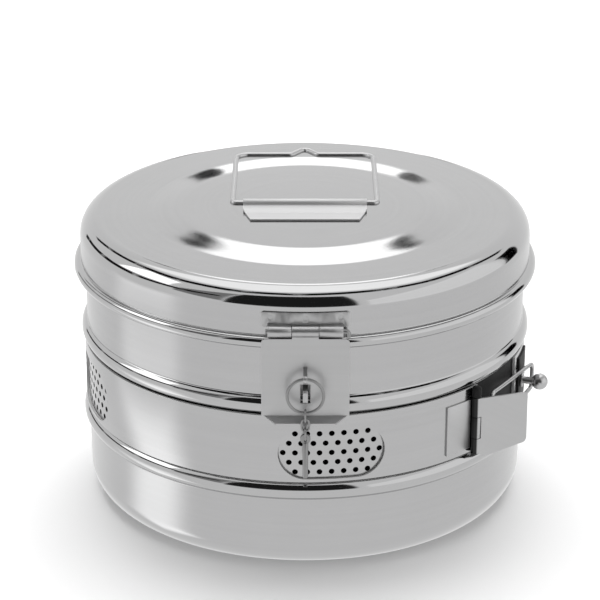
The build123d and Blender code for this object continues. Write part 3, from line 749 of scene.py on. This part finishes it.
def floor():
    """Pale floor that shows as white to the camera apart from the drum's shadow."""
    size = 12.0
    mesh = bpy.data.meshes.new("floor")
    corners = [(-size, -size, 0), (size, -size, 0), (size, size, 0), (-size, size, 0)]
    mesh.from_pydata(corners, [], [(0, 1, 2, 3)])
    material, _, shader = node_tree("floor_white")
    shader.inputs["Base Color"].default_value = (0.92, 0.92, 0.92, 1)
    shader.inputs["Roughness"].default_value = 0.9
    shader.inputs["Specular IOR Level"].default_value = 0.0
    mesh.materials.append(material)
    piece = bpy.data.objects.new("floor", mesh)
    bpy.context.scene.collection.objects.link(piece)
    piece.visible_glossy = False


def studio():
    white_world()
    floor()
    soft_lamp("overhead_lamp", 180, 62, 3.6, 120.0)
    card("overhead_panel", "top", [(-0.32, -0.18), (0.0, -0.21), (0.42, -0.07), (0.6, 0.1), (0.8, 0.6),
                                   (0.85, 1.0), (-0.75, 1.0), (-0.68, 0.6), (-0.56, 0.15)], 1.75, 0.3)
    strip_card("overhead_frame", "top", [(-1.5, 2.1), (-1.08, 1.29), (-0.84, 0.64), (-0.72, 0.14),
                                         (-0.42, -0.27), (0.0, -0.35), (0.5, -0.2), (0.76, 0.05),
                                         (0.93, 0.58), (1.3, 1.25)], 0.26, 0.0)
    card("left_strip", "left", [(-0.3, 0.5), (0.35, 0.34), (0.42, 1.1), (-0.15, 1.1)], 2.7, 0.12)
    strip_card("left_frame", "left", [(1.3, 0.05), (1.11, 0.13), (0.58, 0.22), (0.05, 0.28),
                                      (-0.47, 0.48), (-1.0, 0.8)], 0.18, 0.0)
    card("left_table_glow", "left", rectangle(-0.5, 0.42, -1.4, -0.14), 1.9, 0.75)
    card("right_panel", "right", rectangle(-1.75, 0.52, -0.14, 0.85), 1.25, 0.15)
    card("right_edge", "right", [(0.48, -0.16), (0.84, -0.16), (0.9, 0.5), (0.48, 0.5)], 0.0, 0.15)
    card("camera_side", "front", [(-0.85, 0.02), (0.5, 0.0), (0.5, 1.6), (-0.85, 1.65)], 0.02, 0.08)
    card("camera_left", "front", [(-2.6, 0.55), (-0.8, 0.12), (-0.8, 1.65), (-2.6, 1.5)], 0.3, 0.15)
    card("back_high_panel", "back",
         [(-0.092, 0.49), (0.104, 0.49), (0.135, 0.8), (-0.12, 0.8)], 2.2, 0.1)
    card("back_low_panel", "back",
         [(-0.083, -0.5), (0.095, -0.5), (0.09, 0.235), (-0.078, 0.235)], 2.2, 0.1)
    for name, u, v, half_width, half_height, strength in (
            ("right", 0.112, 0.553, 0.013, 0.042, 0.0), ("left", -0.113, 0.53, 0.014, 0.04, 0.0),
            ("low_right", 0.092, 0.206, 0.013, 0.03, 0.1), ("low_left", -0.078, 0.19, 0.014, 0.04, 0.0)):
        corners = rectangle(u - half_width, u + half_width, v - half_height, v + half_height)
        card("back_mark_" + name, "back", corners, strength, 0.1, MARK_DISTANCE)


def camera():
    """Camera at the photograph's viewing angle, for a square frame 600 pixels wide."""
    focal_pixels = 2436.6
    elevation = 22.095
    distance = 1347.5
    data = bpy.data.cameras.new("camera")
    data.sensor_width = 36.0
    data.lens = focal_pixels / 600 * data.sensor_width
    data.clip_end = 50
    piece = bpy.data.objects.new("camera", data)
    bpy.context.scene.collection.objects.link(piece)
    away = direction(0, elevation)
    piece.location = CENTRE + away * distance * MM
    piece.rotation_euler = away.to_track_quat("Z", "Y").to_euler()
    bpy.context.scene.camera = piece


# ---------------------------------------------------------------- build
sheet_steel = steel("sheet_steel", (0.45, 0.45, 0.452), 0.2, 0.07, 0.5, turned=True)
cut_edge_steel = steel("cut_edge_steel", (0.5, 0.5, 0.5), 0.55, 0.55, 0.3, metallic=0.3)
fitting_steel = steel("fitting_steel", (0.46, 0.46, 0.462), 0.38, 0.4, 0.6)
# Clamp steel with painted shade along the hinge gap, for the lever and the hinge leaf.
clamp_steel = steel("clamp_steel", (0.46, 0.46, 0.462), 0.38, 0.4, 0.6, shade_hinge=True)
wire_steel = steel("wire_steel", (0.47, 0.47, 0.472), 0.3, 0.3, 0.3)
chain_steel = steel("chain_steel", (0.27, 0.27, 0.27), 0.36, 0.36, 0.3)
# Near-black steel that paints shade: the drum wall in the band's gap behind the clamp, the keeper pad
# and the clamp's hinge pin.
painted_shade_steel = steel("painted_shade_steel", (0.012, 0.012, 0.012), 0.5, 0.45, 0.3, metallic=0.0, specular=0.12)
bracket_steel = steel("bracket_steel", (0.48, 0.48, 0.482), 0.4, 0.4, 0.5, metallic=0.55)

for piece in (drum_body(), lid_dome(), window_band()):
    if not piece.data.materials:
        piece.data.materials.append(sheet_steel)
# The clamp's hinge pin takes the near-black steel as painted shade along the hinge line.
for piece, finish, slot_name in ((hasp_front(), fitting_steel, "bright_steel"),
                                 (lever_plate(), clamp_steel, "bright_steel"),
                                 (clamp_pin(), painted_shade_steel, "wire_steel")):
    piece.data.materials.append(finish)
    soften_edges(piece)

record_slots = {part["node"]: part["material_slot"] for part in frame["record"]["subparts"]}
finish_of_slot = {"drum_steel": sheet_steel, "bright_steel": fitting_steel, "wire_steel": wire_steel}
# The keeper pad takes the near-black steel as painted shade behind the clamp's lever.
own_finish = {"split_ring": chain_steel, "chain_links": chain_steel, "lock_pin": chain_steel,
              "hasp_pin": chain_steel, "keeper_pad": painted_shade_steel, "clamp_hinge_leaf": clamp_steel,
              "handle_bracket": bracket_steel}
for node_name, node in frame["nodes"].items():
    for socket in node.material_slots:
        socket.material = own_finish.get(node_name, finish_of_slot[record_slots[node_name]])
    weld = node.modifiers.new("weld", "WELD")
    weld.merge_threshold = 0.000002
    soften_edges(node)

frame["nodes"]["lid_handle"].visible_glossy = False

studio()
camera()
scene = bpy.context.scene
scene.view_settings.view_transform = "Standard"
